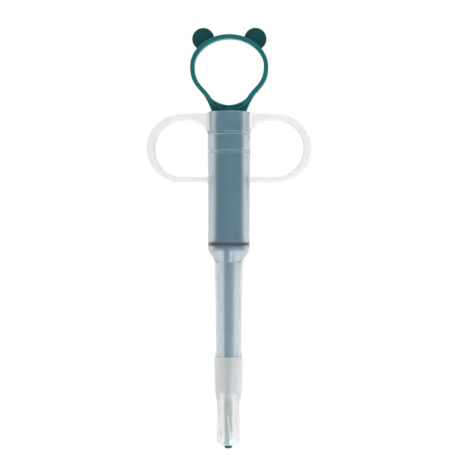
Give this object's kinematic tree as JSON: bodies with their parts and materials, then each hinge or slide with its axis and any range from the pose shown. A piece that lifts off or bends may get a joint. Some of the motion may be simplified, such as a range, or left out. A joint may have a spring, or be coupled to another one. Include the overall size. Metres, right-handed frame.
{
  "type": "oral syringe",
  "caption": "Hand-held pill and liquid feeder: frosted barrel with two closed finger loops, eared thumb-ring plunger with a long push rod, seal and soft slit tip.",
  "frame": {"origin": "centre of the barrel's open mouth, where the hand's two fingers hold the loops level with it", "axes": "+Z along the barrel's axis towards the thumb ring, X through the two finger loops, front face towards -Y"},
  "size_m": [0.07, 0.0182, 0.1797],
  "materials": {
    "frosted_plastic": "frosted translucent polypropylene",
    "teal_plastic": "satin dark teal",
    "black_elastomer": "smooth black",
    "silicone": "milky translucent silicone"
  },
  "bodies": {
    "barrel": {"barrel": "frosted_plastic"},
    "seal": {"piston_seal": "black_elastomer"},
    "plunger": {"plunger": "teal_plastic"},
    "tip": {"silicone_tip": "silicone"}
  },
  "joints": [
    {"name": "plunger_slide", "type": "slide", "parent": "barrel", "child": "seal", "axis": [0, 0, 1], "range_m": [0, 0.036]},
    {"name": "plunger_swivel", "type": "hinge", "parent": "seal", "child": "plunger", "pos_m": [0, 0, 0], "axis": [0, 0, 1], "continuous": true},
    {"name": "tip_pull", "type": "slide", "parent": "barrel", "child": "tip", "axis": [0, 0, -1], "range_m": [0, 0.04]}
  ]
}
